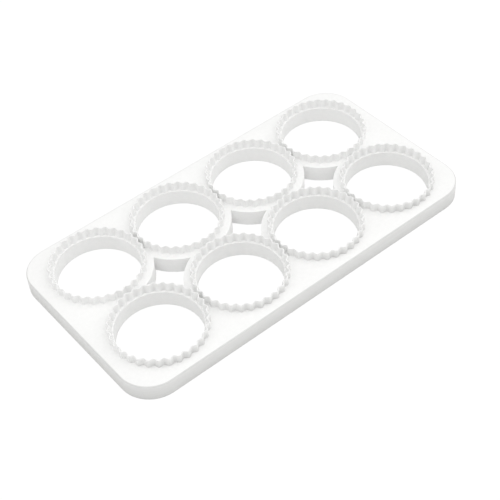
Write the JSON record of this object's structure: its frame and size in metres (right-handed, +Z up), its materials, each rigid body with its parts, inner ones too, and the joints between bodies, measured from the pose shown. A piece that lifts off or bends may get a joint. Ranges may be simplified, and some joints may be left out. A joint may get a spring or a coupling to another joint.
{
  "type": "empanada press",
  "caption": "Flat white board pierced by rows of round bores, each ringed by a thin raised fluted wall that cuts discs of dough.",
  "frame": {"origin": "middle of the board's flat underside", "axes": "+X along the rows of four rings, +Y across the two rows, +Z up, towards the fluted walls"},
  "size_m": [0.4012, 0.21, 0.026],
  "materials": {
    "board_plastic": "matt, faintly mottled",
    "cutter_plastic": "matt, faint lines along the walls"
  },
  "bodies": {
    "root": {"base_plate": "board_plastic", "cutter_ring_b1": "cutter_plastic", "cutter_ring_b2": "cutter_plastic", "cutter_ring_b3": "cutter_plastic", "cutter_ring_b4": "cutter_plastic", "cutter_ring_a1": "cutter_plastic", "cutter_ring_a2": "cutter_plastic", "cutter_ring_a3": "cutter_plastic", "cutter_ring_a4": "cutter_plastic"}
  },
  "joints": []
}
